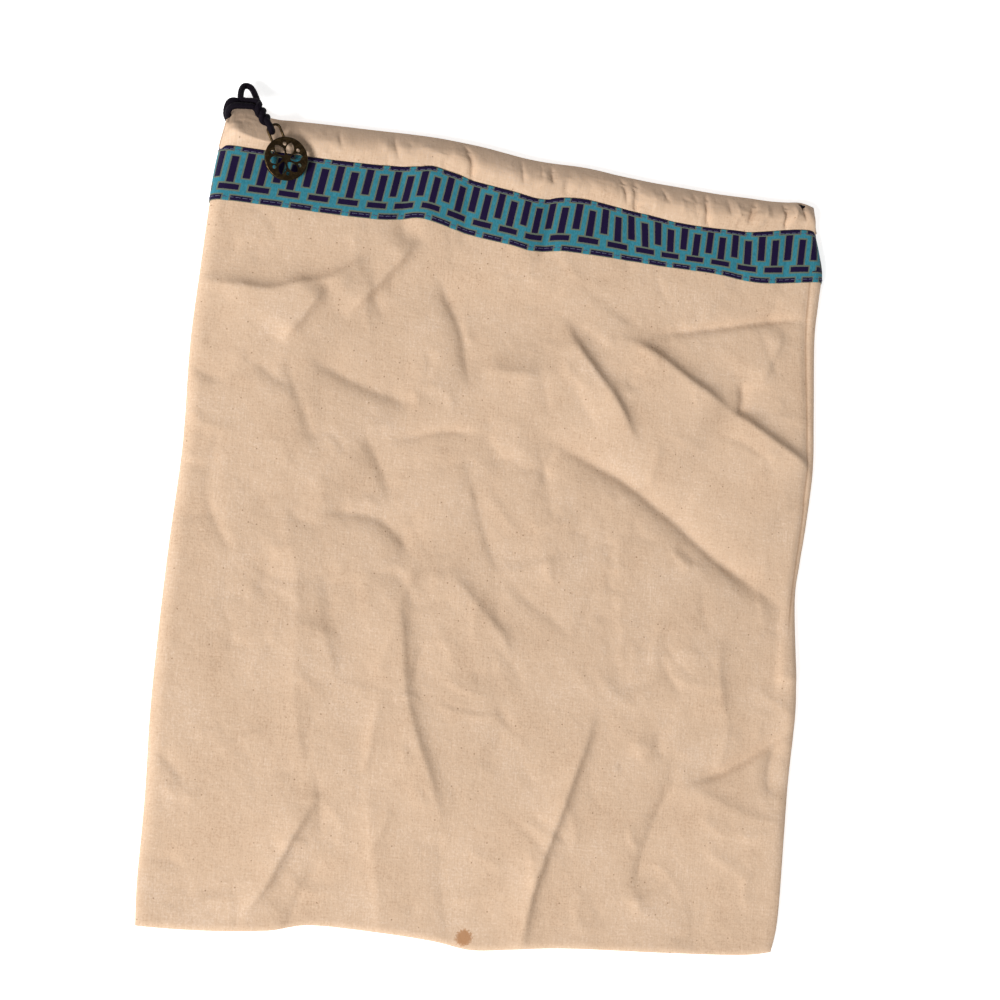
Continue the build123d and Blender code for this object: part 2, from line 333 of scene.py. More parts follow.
class Paint:
    """A material with helpers for its nodes."""

    def __init__(self, name, roughness, metallic=0.0, specular=0.5):
        self.material = bpy.data.materials.new(name)
        self.material.use_nodes = True
        self.tree = self.material.node_tree
        self.shader = self.tree.nodes["Principled BSDF"]
        self.shader.inputs["Roughness"].default_value = roughness
        self.shader.inputs["Metallic"].default_value = metallic
        self.shader.inputs["Specular IOR Level"].default_value = specular

    def sheen(self, weight, roughness, tint):
        self.shader.inputs["Sheen Weight"].default_value = weight
        self.shader.inputs["Sheen Roughness"].default_value = roughness
        self.shader.inputs["Sheen Tint"].default_value = tint

    def places(self):
        """The two numbers of the piece's own place map, in millimetres."""
        source = self.tree.nodes.new("ShaderNodeUVMap")
        source.uv_map = "place"
        split = self.tree.nodes.new("ShaderNodeSeparateXYZ")
        self.tree.links.new(source.outputs[0], split.inputs[0])
        return Value(self.tree, split.outputs[0]), Value(self.tree, split.outputs[1])

    def solid_places(self):
        """The three numbers of a point's own coordinates, in metres."""
        source = self.tree.nodes.new("ShaderNodeTexCoord")
        split = self.tree.nodes.new("ShaderNodeSeparateXYZ")
        self.tree.links.new(source.outputs["Object"], split.inputs[0])
        return [Value(self.tree, output) for output in split.outputs[:3]]

    def joined(self, *numbers):
        node = self.tree.nodes.new("ShaderNodeCombineXYZ")
        for place, number in zip(node.inputs, numbers):
            self.tree.links.new(number.socket, place)
        return node.outputs[0]

    def noise(self, vector, scale, detail=2.0, roughness=0.5):
        node = self.tree.nodes.new("ShaderNodeTexNoise")
        node.inputs["Scale"].default_value = scale
        node.inputs["Detail"].default_value = detail
        node.inputs["Roughness"].default_value = roughness
        self.tree.links.new(vector, node.inputs["Vector"])
        return Value(self.tree, node.outputs[0])

    def cells(self, vector, scale):
        """Distance to the nearest of scattered points, and a random number for each of them."""
        node = self.tree.nodes.new("ShaderNodeTexVoronoi")
        node.inputs["Scale"].default_value = scale
        self.tree.links.new(vector, node.inputs["Vector"])
        split = self.tree.nodes.new("ShaderNodeSeparateXYZ")
        self.tree.links.new(node.outputs["Color"], split.inputs[0])
        return Value(self.tree, node.outputs["Distance"]), Value(self.tree, split.outputs[0])

    def mix(self, share, low, high):
        """Colour low where share is 0 and high where it is 1."""
        node = self.tree.nodes.new("ShaderNodeMix")
        node.data_type = "RGBA"
        for place, item in zip((node.inputs[0], node.inputs[6], node.inputs[7]), (share, low, high)):
            if isinstance(item, Value):
                self.tree.links.new(item.socket, place)
            elif isinstance(item, bpy.types.NodeSocket):
                self.tree.links.new(item, place)
            else:
                place.default_value = item
        return node.outputs[2]

    def colour(self, item):
        if isinstance(item, bpy.types.NodeSocket):
            self.tree.links.new(item, self.shader.inputs["Base Color"])
        else:
            self.shader.inputs["Base Color"].default_value = item

    def roughness(self, number):
        self.tree.links.new(number.socket, self.shader.inputs["Roughness"])

    def bump(self, height, distance, strength=1.0):
        """Relief from a height between 0 and 1, distance in millimetres."""
        node = self.tree.nodes.new("ShaderNodeBump")
        node.inputs["Strength"].default_value = strength
        node.inputs["Distance"].default_value = distance * MM
        self.tree.links.new(height.socket, node.inputs["Height"])
        self.tree.links.new(node.outputs[0], self.shader.inputs["Normal"])


# The right seam, which lies a little inside the edge above the middle of the bag: X goes from
# the third to the fourth number as Y goes from the first to the second; the lesser of both counts.
SEAM_UPPER = (52.0, 140.0, 160.0, 155.0)
SEAM_LOWER = (-40.0, 46.0, 154.6, 160.3)

CLOTH_COLOUR = linear(220, 189, 160)
CLOTH_SHADE = linear(203, 170, 141)
CLOTH_PALE = linear(233, 205, 180)
FLECK_COLOUR = linear(136, 98, 70)
STAIN_COLOUR = linear(182, 130, 88)
STAIN = (-4, -196)
STAIN_SIZE = 4.8
STAIN_WEIGHT = 0.85
# Painted shade of the narrow groove along the right seam
SEAM_PAINTED_SHADE = linear(166, 128, 98)
# Painted shade of the front casing, darker towards its lip where its face turns away from the light: its
# colour, the run over which it comes in, and how strong it is
LIP_PAINTED_SHADE = linear(168, 143, 124)
LIP_SHADE_RUN = (191.0, 203.0)  # part of the casing's run over which it gets duller towards its lip
LIP_SHADE_WEIGHT = 0.4


def cotton_cloth(name, stain_and_seam_shade=False, wear_and_shade=False):
    """Unbleached plain-woven cotton with thick and thin threads, seed flecks and soft crumpling."""
    paint = Paint(name, roughness=0.93, specular=0.2)
    paint.sheen(0.12, 0.5, linear(255, 240, 222))
    across, along = paint.places()
    place = paint.joined(across, along)
    clouds = paint.noise(place, 0.035, 3.0, 0.55)
    slub_across = paint.noise(paint.joined(across * 0.07, along), 1.5, 2.0, 0.7)
    slub_along = paint.noise(paint.joined(across, along * 0.07), 1.5, 2.0, 0.7)
    mottle = paint.noise(place, 0.9, 3.0, 0.65)
    tone = clouds * 0.3 + slub_across * 0.22 + slub_along * 0.28 + mottle * 0.5 - 0.15
    base = paint.mix(tone.ramp(0.33, 0.5), CLOTH_SHADE, CLOTH_COLOUR)
    base = paint.mix(tone.ramp(0.5, 0.66), base, CLOTH_PALE)
    far, chance = paint.cells(place, 0.3)
    seed = far.ramp(0.07, 0.16, 1.0, 0.0) * chance.ramp(0.78, 0.8)
    base = paint.mix(seed * 0.6, base, FLECK_COLOUR)
    far, chance = paint.cells(place, 0.75)
    seed = far.ramp(0.1, 0.25, 1.0, 0.0) * chance.ramp(0.86, 0.88)
    base = paint.mix(seed * 0.25, base, FLECK_COLOUR)
    if stain_and_seam_shade:
        # Painted shade: a thin darker line along the right seam stands in for the shade in its groove, which
        # is too narrow for the mesh. The brown stain after it is the cloth's own.
        seam = along.ramp(*SEAM_UPPER).least(along.ramp(*SEAM_LOWER))
        line = abs(across - seam).ramp(0.2, 0.9, 0.5, 0.0) * along.ramp(-40.0, -20.0)
        base = paint.mix(line, base, SEAM_PAINTED_SHADE)
        square = (across - STAIN[0]).math("POWER", 2.0) + (along - STAIN[1]).math("POWER", 2.0)
        edge = square.math("SQRT") + mottle * 5 - 2.5
        base = paint.mix(edge.ramp(STAIN_SIZE * 0.6, STAIN_SIZE, STAIN_WEIGHT, 0.0), base, STAIN_COLOUR)
    # Painted shade: the casing's colour is darkened towards its lip, where its face turns away from the
    # light, with a ragged mottled edge.
    if wear_and_shade:
        uneven = along + clouds * 10 + mottle * 26 - 12
        base = paint.mix(uneven.ramp(*LIP_SHADE_RUN, 0.0, LIP_SHADE_WEIGHT), base, LIP_PAINTED_SHADE)
    paint.colour(base)
    threads = across.wave(0.5) * along.wave(0.5)
    crumple = paint.noise(place, 0.16, 4.0, 0.55)
    height = crumple * 0.6 + slub_across * 0.05 + slub_along * 0.1 + mottle * 0.08 + threads * 0.012
    paint.bump(height, 1.0, 0.8)
    return paint.material


RIBBON_WIDTH = 28.0
REPEAT = 14.8             # length of one repeat of the ribbon's bars
BAR_HALF = 1.8
DASH_HALF = 5.1
OUTLINE = 0.75

# Bottom and top of each bar and dash, across the ribbon
LOW_BAR = (9.4, 22.8)
SHORT_BAR = (5.7, 8.5)
HIGH_BAR = (12.1, 25.2)
TOP_DASH = (25.9, 27.8)
BOTTOM_DASH = (0.2, 2.6)

RIBBON_TEAL = linear(38, 114, 132)
RIBBON_TEAL_PALE = linear(66, 144, 160)
RIBBON_DARK = linear(24, 10, 52)
RIBBON_LINE = linear(104, 114, 98)


def woven_ribbon():
    """Teal woven ribbon with plain dark bars and dashes, each in a thin grey line."""
    paint = Paint("woven_ribbon", roughness=0.7, specular=0.15)
    paint.sheen(0.04, 0.35, linear(200, 215, 235))
    run, width = paint.places()
    place = paint.joined(run, width)
    ragged = paint.noise(place, 1.6, 1.0) * 0.3 - 0.15
    x = (run + ragged).snapped(0.28)
    y = (width + ragged).snapped(0.3)
    from_low = x.wrapped(REPEAT)
    from_high = from_low * -1 + REPEAT / 2

    def block(from_middle, half, bottom, top):
        return (from_middle - half).most(abs(y - (bottom + top) / 2) - (top - bottom) / 2)

    far = block(from_low, BAR_HALF, *LOW_BAR)
    far = far.least(block(from_low, DASH_HALF - 0.1, *SHORT_BAR))
    far = far.least(block(from_high, BAR_HALF, *HIGH_BAR))
    far = far.least(block(from_high, DASH_HALF + 0.2, *TOP_DASH))
    far = far.least(block(from_high, DASH_HALF, *BOTTOM_DASH))
    tone = paint.noise(paint.joined(run, width * 0.3), 1.8, 3.0, 0.7)
    teal = paint.mix(tone.ramp(0.25, 0.75), RIBBON_TEAL, RIBBON_TEAL_PALE)
    ground = paint.mix(far.ramp(OUTLINE - 0.1, OUTLINE + 0.15), RIBBON_LINE, teal)
    paint.colour(paint.mix(far.ramp(-0.08, 0.08), RIBBON_DARK, ground))
    ribs = run.wave(0.42) * 0.5 + width.wave(0.36) * 0.5
    height = ribs * 0.05 + far.ramp(-0.2, 0.2) * -0.12 + paint.noise(place, 0.3, 3.0) * 0.6
    paint.bump(height, 0.8, 0.7)
    return paint.material


def thread(name, colour, glint_colour):
    """Twisted sewing thread, with a painted highlight in a paler colour on the crest of each twist."""
    paint = Paint(name, roughness=0.7, specular=0.3)
    paint.sheen(0.2, 0.4, glint_colour)
    run, turn = paint.places()
    twist = (run * 2.2 + turn * (1 / math.pi)).wave(1.0)
    # Painted highlight: the crest of each twist gets the paler colour.
    paint.colour(paint.mix(twist.ramp(-0.6, 0.6), colour, glint_colour))
    paint.bump(twist * 0.5 + 0.5, 0.08)
    return paint.material


def braided_cord():
    """Near-black dyed cord, with a dull sheen on each strand."""
    paint = Paint("braided_cord", roughness=0.75, specular=0.12)
    run, turn = paint.places()
    fibre = paint.noise(paint.joined(run * 0.6, turn * 2.0), 3.0, 3.0, 0.6)
    paint.colour(paint.mix(fibre.ramp(0.4, 0.64), linear(4, 1, 6), linear(22, 13, 28)))
    paint.bump(fibre, 0.25)
    return paint.material


def antique_brass():
    """Cast brass, dark in its hollows and rubbed bright where it is touched."""
    paint = Paint("antique_brass", roughness=0.42, metallic=1.0)
    place = paint.joined(*paint.solid_places())
    patina = paint.noise(place, 420.0, 4.0, 0.6)
    pits = paint.noise(place, 1400.0, 3.0, 0.55)
    wear_and_shade = paint.mix((patina + pits * 0.4).ramp(0.6, 0.95), linear(54, 42, 27), linear(92, 74, 49))
    paint.colour(wear_and_shade)
    paint.roughness(patina.ramp(0.3, 0.7, 0.5, 0.3))
    paint.bump(pits * 0.6 + patina * 0.4, 0.25)
    return paint.material


# Creases of the front cloth: height at its middle, width to the left and to the right of the way
# its points run, and the points. A ridge has a height above zero and a hollow one below.
CREASES = [
    # upper right
    (3, 3, 25, [(20, 118), (30, 102), (40, 90), (50, 78), (58, 66), (67, 52)]),
    (3.1, 3, 25, [(50, 110), (62, 107), (75, 101), (90, 92), (105, 84), (120, 76)]),
    (3.4, 3, 25, [(112, 80), (121, 75), (132, 69), (145, 62), (156, 56), (166, 48)]),
    (-1.8, 7, 2, [(121, 96), (122.5, 86), (121, 75)]),
    (-1.9, 2, 2, [(68, 112), (85, 117), (105, 122), (125, 127), (142, 131), (160, 132)]),
    (1.4, 3, 25, [(143, 127), (138, 112), (133, 100), (130, 92)]),
    (0.7, 4, 20, [(57, 120), (50, 114), (47, 108), (46, 102)]),
    (-2.8, 10, 5, [(8, 60), (25, 50), (42, 43.5), (60, 36), (75, 27), (92, 16), (110, 3), (128, -8),
                   (146, -19), (162, -31)]),
    (-0.6, 2, 7, [(28, 90), (33, 76), (40, 65), (44, 58)]),
    (1.1, 7, 7, [(-20, 85), (-4, 84), (14, 84)]),
    (-0.6, 25, 3, [(12, 58), (16, 44), (20, 32), (23, 24)]),
    (0.3, 4, 6, [(4, 62), (3, 52), (1, 42)]),
    (0.3, 25, 3, [(8, 22), (16, 8), (22, -10), (28, -26)]),
    # upper left
    (2.6, 3, 25, [(-166, 110), (-145, 110), (-128, 110), (-114, 115), (-99, 119.5), (-88, 127), (-77, 137)]),
    (2.4, 2.5, 9, [(-100.5, 116), (-107, 105), (-114, 94), (-122, 84)]),
    (-1.1, 25, 3, [(-117, 82), (-114, 70), (-109, 58), (-103, 46), (-97, 32)]),
    (0.4, 3, 25, [(-109, 72), (-102, 56), (-96, 44), (-90, 35)]),
    (-1.8, 20, 4, [(-110, 81), (-95, 75), (-78, 69), (-62, 64.5), (-46, 61)]),
    (0.3, 6, 12, [(-166, 80), (-147, 77), (-133, 72), (-123, 60), (-114, 49)]),
    (-0.9, 12, 2.5, [(-166, 73), (-155, 65), (-144, 62)]),
    (0.3, 10, 5, [(-149, 62), (-146, 45), (-143, 24), (-139, 2), (-133, -12), (-127, -26), (-121, -40)]),
    (-0.5, 7, 2, [(-166, -8), (-152, -4), (-138, 1)]),
    (-1.1, 2, 2, [(-62, 42), (-50, 46.5), (-38, 50), (-26, 51.5), (-15, 50.5)]),
    (-0.6, 2.5, 12, [(-18, 53), (-11, 48), (-5, 42), (4, 38)]),
    (2.8, 2.5, 10, [(-55, 147), (-62, 138), (-70, 127), (-79, 115), (-91, 101)]),
    (-1.9, 25, 3, [(-46, 131), (-36, 114), (-30, 102), (-27, 90), (-23, 72)]),
    (-1.3, 25, 3, [(-76, 48), (-70, 37), (-63, 25), (-57, 11)]),
    (-0.3, 3, 25, [(-131, 7), (-119, 10), (-109, 14), (-99, 22)]),
    (-1.6, 25, 3, [(-96, 6), (-80, 5), (-66, 4), (-56, -2), (-48, -10), (-43, -20)]),
    (-0.9, 12, 2.5, [(-24, 42), (-19, 27), (-13, 10), (-6, -7), (2, -22)]),
    (0.7, 10, 5, [(-112, 14), (-109, -3), (-103, -24), (-100, -46), (-99, -70), (-97, -90), (-92, -112),
                  (-86, -134)]),
    # lower left
    (-0.5, 7, 2, [(-116, -16), (-117, -30), (-121, -40)]),
    (-0.4, 7, 2, [(-140, -42), (-131, -41), (-122, -43)]),
    (-0.3, 3, 4, [(-144, -56), (-131, -62), (-117, -67)]),
    (-0.6, 3, 25, [(-93, -34), (-81, -30), (-69, -27)]),
    (0.7, 3, 25, [(-90, -44), (-86, -57), (-81, -68), (-83, -80)]),
    (0.3, 2, 7, [(-82, -77), (-68, -79.5), (-46, -82)]),
    (1.8, 3, 25, [(-44, -8), (-45, -24), (-50, -36), (-48, -50), (-46, -65), (-43, -82), (-37, -100),
                  (-30, -116), (-24, -132), (-18, -150)]),
    (-0.5, 25, 3, [(-22, -142), (-20, -154), (-18, -170), (-14, -187), (-8, -208)]),
    (1.3, 3, 25, [(-32, -16), (-20, -26), (-8, -38), (3, -49), (10, -64)]),
    (0.5, 25, 3, [(-90, -137), (-76, -129.5), (-66, -124.5), (-56, -120)]),
    (2.6, 2.5, 8, [(-82, -128), (-85, -138), (-92, -151), (-98, -165), (-104, -178), (-118, -196)]),
    (0.8, 20, 4, [(-60, -118), (-57, -137), (-53, -155), (-49.5, -174), (-44, -204)]),
    (0.9, 7, 2, [(-55, -80), (-58, -95), (-59.5, -110), (-60, -127)]),
    (0.6, 3, 25, [(-121, -176), (-118, -188), (-117, -203)]),
    (-0.8, 12, 2.5, [(-76, -160), (-86, -180), (-92, -202)]),
    # lower right
    (0.3, 8, 8, [(14, -50), (30, -55.5), (40, -61.5), (55, -76), (70, -91), (84, -107), (98, -121)]),
    (-0.5, 7, 2, [(2, -21), (15, -30), (27, -37.5), (39, -46)]),
    (-0.3, 3, 3, [(52, -10), (47, -28), (40, -49)]),
    (-0.6, 25, 3, [(57, -72), (72, -68), (83, -64.5), (92, -58), (103, -48)]),
    (-0.3, 2, 2, [(87, -97), (92, -87), (99, -79)]),
    (-0.4, 25, 3, [(97, -98), (96, -108), (93, -117)]),
    (-1.2, 25, 3, [(99, -104), (97, -117), (91, -129), (87, -141), (83.5, -155), (81, -180)]),
    (-2.3, 7, 2, [(102, -115), (118, -110), (132, -103), (147, -93), (166, -81)]),
    (0.8, 3, 25, [(102, -115), (118, -120.5), (134, -127), (148, -130.5), (166, -132)]),
    (1.1, 3, 25, [(121, -38), (117, -50), (119, -66), (124, -84)]),
    (1.7, 20, 4, [(148, -57), (157, -57), (166, -57)]),
    (-1.2, 12, 2.5, [(153, -88), (149, -103), (150, -120)]),
    (2.7, 2.5, 12, [(54, -74), (50, -96), (45, -112), (40.5, -128), (36, -143), (31, -160), (27, -178),
                    (24, -214)]),
    (-0.3, 25, 3, [(61, -174), (64, -188), (66, -203)]),
    (-0.4, 12, 2.5, [(112, -168), (114, -186), (116, -203)]),
    (-0.5, 7, 2, [(33, 8), (41, 6), (46, 0)]),
    (-0.3, 4, 5, [(53, 7), (63, 9), (74, 7)]),
    # under the ribbon
    (-1.5, 6, 5, [(-62, 140), (-65, 155), (-67, 170), (-68, 190)]),
    (1.2, 8, 8, [(-56, 145), (-54, 160), (-52, 175), (-51, 192)]),
    (-1.3, 4, 6, [(-34, 142), (-33, 158), (-33, 172), (-33, 188)]),
    (-1.5, 4, 5, [(6, 138), (9, 152), (10, 166), (9, 185)]),
    (0.8, 7, 7, [(-5, 140), (-3, 160), (-2, 182)]),
    (-0.8, 4, 4, [(52, 140), (55, 158), (55, 185)]),
    (-0.7, 4, 4, [(70, 142), (74, 160), (78, 182)]),
    (-0.9, 4, 6, [(112, 138), (116, 158), (119, 184)]),
    (-0.8, 4, 4, [(138, 142), (141, 160), (141, 184)]),
]

# Broad swells and hollows: height, middle, half length, half width and heading in degrees
SWELLS = [
    (1.6, -120, 60, 40, 45, 0),
    (1.5, 90, -60, 60, 45, 20),
    (1.2, -10, -110, 60, 40, 80),
    (1.3, 60, 60, 55, 35, -35),
    (-1.2, 0, 110, 45, 18, -15),
    (-1.0, 130, -165, 40, 35, 45),
    (-0.8, -140, -175, 35, 30, -40),
    (0.8, -120, -100, 45, 35, 0),
]

RELIEF = 1.5              # all creases together
END_FADE = 0.28           # share of a crease over which it fades at each end
FOLD_ROUNDING = 0.5
CREASE_STEP = 1.5         # between the points of a crease's line
CREASE_REACH = 4.2        # times its greater width, where a crease is as good as flat

# Range of the small creases' heights, and of their widths to the left and to the right
SMALL_HEIGHTS = (0.15, 0.5)
SMALL_LEFT = (1.0, 3.0)
SMALL_RIGHT = (1.3, 5.0)
SMALL_BEND = 0.5          # most that one turns away from its heading
SMALL_X = (-155, 155)


def crease(x, y, height, left, right, points):
    """Height of one crease: greatest on its line, less to both sides, and nothing at its ends."""
    line = curve_through(points, CREASE_STEP)
    reach = CREASE_REACH * max(left, right)
    low, high = line.min(0) - reach, line.max(0) + reach
    near = (x > low[0]) & (x < high[0]) & (y > low[1]) & (y < high[1])
    result = np.zeros_like(x)
    px, py = x[near], y[near]
    least = np.full(px.shape, np.inf)
    side = np.zeros(px.shape)
    for a, b in zip(line, line[1:]):
        d = b - a
        t = np.clip(((px - a[0]) * d[0] + (py - a[1]) * d[1]) / (d @ d), 0, 1)
        off_x, off_y = px - a[0] - t * d[0], py - a[1] - t * d[1]
        apart = off_x * off_x + off_y * off_y
        closer = apart < least
        least = np.where(closer, apart, least)
        side = np.where(closer, d[0] * off_y - d[1] * off_x, side)
    chord = line[-1] - line[0]
    along = ((px - line[0, 0]) * chord[0] + (py - line[0, 1]) * chord[1]) / (chord @ chord)
    fade = smooth(along / END_FADE) * smooth((1 - along) / END_FADE)
    apart = np.sqrt(least + FOLD_ROUNDING**2) - FOLD_ROUNDING
    result[near] = height * fade * np.exp(-apart / np.where(side > 0, left, right))
    return result


def swell(x, y, height, middle_x, middle_y, half_length, half_width, heading):
    """Height of one broad swell."""
    turn = math.radians(heading)
    along = ((x - middle_x) * math.cos(turn) + (y - middle_y) * math.sin(turn)) / half_length
    beside = ((y - middle_y) * math.cos(turn) - (x - middle_x) * math.sin(turn)) / half_width
    return height * np.exp(-(along**2 + beside**2))


def small_creases(count, seed, y_range=(-190, 150), headings=(0, math.pi), lengths=(7, 20)):
    """Short shallow creases scattered over the bag; lengths are of half a crease."""
    random = np.random.default_rng(seed)
    found = []
    for _ in range(count):
        x, y = random.uniform(*SMALL_X), random.uniform(*y_range)
        heading, bend = random.uniform(*headings), random.uniform(-SMALL_BEND, SMALL_BEND)
        half = random.uniform(*lengths)
        ends = []
        for share in (-1, -0.4, 0.3, 1):
            turn = heading + bend * share
            ends.append((x + half * share * math.cos(turn), y + half * share * math.sin(turn)))
        height = random.uniform(*SMALL_HEIGHTS) * random.choice([-1, 1])
        found.append((height, random.uniform(*SMALL_LEFT), random.uniform(*SMALL_RIGHT), ends))
    return found


# Height maps: even points over the bag, and how far they are blurred
MAP_CELL = 0.8
MAP_X = np.arange(-172, 172.1, MAP_CELL)
MAP_Y = np.arange(-210, 206.1, MAP_CELL)
MAP_BLUR = 0.65
BLUR_CELLS = 4


def softened(heights, reach):
    """A height map blurred over reach, in millimetres."""
    offsets = np.arange(-BLUR_CELLS, BLUR_CELLS + 1)
    weights = np.exp(-0.5 * (offsets * MAP_CELL / reach) ** 2)
    weights /= weights.sum()
    for axis in (0, 1):
        padding = [(BLUR_CELLS, BLUR_CELLS) if k == axis else (0, 0) for k in (0, 1)]
        padded = np.pad(heights, padding, mode="edge")
        heights = np.apply_along_axis(lambda line: np.convolve(line, weights, mode="valid"), axis, padded)
    return heights


def height_map(creases, swells):
    x, y = np.meshgrid(MAP_X, MAP_Y)
    heights = RELIEF * sum(crease(x, y, *each) for each in creases)
    for each in swells:
        heights = heights + swell(x, y, *each)
    return softened(heights, MAP_BLUR)


def looked_up(heights, x, y):
    """Height of a map at the places x, y."""
    column = np.clip((x - MAP_X[0]) / MAP_CELL, 0, len(MAP_X) - 1.001)
    row = np.clip((y - MAP_Y[0]) / MAP_CELL, 0, len(MAP_Y) - 1.001)
    i, j = row.astype(int), column.astype(int)
    u, v = column - j, row - i
    low = heights[i, j] * (1 - u) + heights[i, j + 1] * u
    high = heights[i + 1, j] * (1 - u) + heights[i + 1, j + 1] * u
    return low * (1 - v) + high * v


# Groove of the right seam, as a crease whose points are worked out
SEAM_GROOVE = (-0.9, 1.2, 0.9)

BACK_CREASES = [
    (1.6, 9, 14, [(-150, 60), (-90, 30), (-30, 20), (40, -10)]),
    (1.9, 12, 8, [(-20, 150), (10, 100), (50, 50), (60, -20)]),
    (1.5, 8, 12, [(-120, -170), (-60, -120), (10, -100), (90, -130)]),
    (1.3, 10, 7, [(70, 140), (100, 90), (140, 60)]),
]


def seam_line():
    """Points along the right seam."""
    y = np.arange(-50.0, 190.0, 6.0)
    sides = [low + (high - low) * risen(y, start, end) for start, end, low, high in (SEAM_UPPER, SEAM_LOWER)]
    return np.stack([np.minimum(*sides), y], 1)


front_map = height_map(CREASES + small_creases(240, 5) + [(*SEAM_GROOVE, seam_line())], SWELLS)
back_map = np.abs(height_map(small_creases(90, 11) + BACK_CREASES, []))


# Sheets of the body

BAG_WIDTH = 330
SHEET_LENGTH = 386        # about, of a body sheet: from these two come the numbers of rows and columns
BODY_START = -200
BODY_LENGTH = 383         # from the closed end to a little past the ribbon's head
HEAD_TUCK = 4             # how far a body sheet goes on past the ribbon's head

# Y between which the front cloth rises to the ribbon, drops to the closed end, and has calmer creases
RISE_RUN = (118, 158)
DROP_RUN = (-130, -195)
CALM_RUN = (140, 170)
CALM = 0.45               # part of the creases' height that is gone at the end of that
LEAST_GAP = 2.6           # the front cloth stays about this high
GAP_SOFTNESS = 0.8

# Y between which the back cloth steps up to the ribbon, and its creases end
STEP_RUN = (146, 151)
BACK_END_RUN = (130, 145)
BACK_STEP = 0.45


def rim_profile(width):
    """Inset and level of the points round a rim, from its underside up."""
    turn = np.radians(np.linspace(-TUCK, 90, RIM_COLUMNS))
    return width * (1 - np.cos(turn)), np.sin(turn)


def columns(step):
    """Columns across the bag: offset from the left edge, share of the width, and level on the rim."""
    inset, rise = rim_profile(RIM)
    share = np.linspace(0, 1, int(BAG_WIDTH / step))[1:-1]
    offset = np.r_[inset, RIM * (1 - 2 * share), -inset[::-1]]
    width = np.r_[np.zeros(RIM_COLUMNS), share, np.ones(RIM_COLUMNS)]
    level = np.r_[rise, np.ones(len(share)), rise[::-1]]
    return offset, width, level


def across_places(y, offset, width):
    """X of each column at each Y."""
    left, right = left_edge(y)[:, None], right_edge(y)[:, None]
    return left + offset[None, :] + width[None, :] * (right - left)


def front_level(x, y):
    """Height of the front cloth away from its rim."""
    rise, drop = (RIBBON_LEVEL - BODY_LEVEL) * risen(y, *RISE_RUN), END_DROP * risen(y, *DROP_RUN)
    base = BODY_LEVEL + rise - drop
    calm = 1 - CALM * risen(y, *CALM_RUN)
    return soft_floor(base + looked_up(front_map, x, y) * calm, LEAST_GAP, GAP_SOFTNESS)


def back_level(x, y):
    """Height of the back cloth's underside away from its rim."""
    step = BACK_STEP * risen(y, *STEP_RUN)
    return BACK_LEVEL + step + looked_up(back_map, x, y) * (1 - risen(y, *BACK_END_RUN))


def with_rim(plateau, level, equator):
    """Height with the rounded rim, where level falls from 1 to 0, and on to the seam below 0."""
    tuck = math.sin(math.radians(TUCK))
    above = equator + (plateau - equator) * np.clip(level, 0, 1)
    return above + (SEAM_LEVEL - equator) / tuck * np.clip(-level, 0, 1)


def body_grid(level_at, equator, step):
    """Points and places of a body sheet from the closed end to under the casing."""
    offset, width, level_across = columns(step)
    rim_offset, rim_level = rim_profile(END_RIM)
    share = np.linspace(0, 1, int(SHEET_LENGTH / step))[1:]
    row_offset = np.r_[rim_offset, END_RIM * (1 - share)]
    row_share = np.r_[np.zeros(RIM_COLUMNS), share]
    row_level = np.r_[rim_level, np.ones(len(share))]
    nominal = BODY_START + row_offset + row_share * BODY_LENGTH
    x = across_places(nominal, offset, width)
    foot = bottom_edge(x)
    head = ribbon_head(x) + HEAD_TUCK
    y = foot + row_offset[:, None] + row_share[:, None] * (head - foot)
    level = np.minimum(level_across[None, :], row_level[:, None])
    both = (level_across[None, :] > 0) & (row_level[:, None] > 0)
    level = np.where(both, level_across[None, :] * row_level[:, None], level)
    z = with_rim(level_at(x, y), level, equator)
    return np.stack([x, y, z], -1), np.stack([x, y], -1)


def gathers(piece):
    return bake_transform(piece)


def add_panels():
    front_points, places = body_grid(front_level, FRONT_EQUATOR, CELL)
    front = add_sheet("front_cloth", front_points, places, cotton_cloth("front_cotton", stain_and_seam_shade=True))
    back_points, places = body_grid(back_level, BACK_EQUATOR, CELL * 1.5)
    back = add_sheet("back_cloth", back_points, places, cotton_cloth("back_cotton"), flip=True)
    for piece, node in ((front, "front_panel"), (back, "back_panel")):
        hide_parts(node)
        gathers(piece)


# Ribbons

# Where whole repeats of the bars lie along the ribbon
REPEATS_AT = [(-166.8, -1), (-152, 0), (-78, 5), (-37.5, 8), (17, 12), (62, 15), (104, 18), (149, 21),
              (178, 23)]
RIBBON_LEAN = [(-170, 0.14), (-60, 0.16), (20, 0.13), (40, 0.02), (58, -0.09), (74, -0.03), (90, 0.06),
               (104, 0.05), (120, 0.0), (150, 0.06), (170, 0.08)]
SEAM_SHIFT_X = 156        # about, of the side seam
SEAM_SHIFT = 4.6          # how far the pattern is off past it
RIBBON_Y = 150            # about, of the ribbon's foot
RIBBON_DEPTH = 30         # about, to its head
RIBBON_THICKNESS = 0.35
RIBBON_CELL = 0.8
RIBBON_ROWS = 36
RIBBON_LIFT = 0.45        # outer face above the cloth
BACK_RIBBON_CELL = 1.2
BACK_RIBBON_ROWS = 24
BACK_RIBBON_LIFT = 0.2


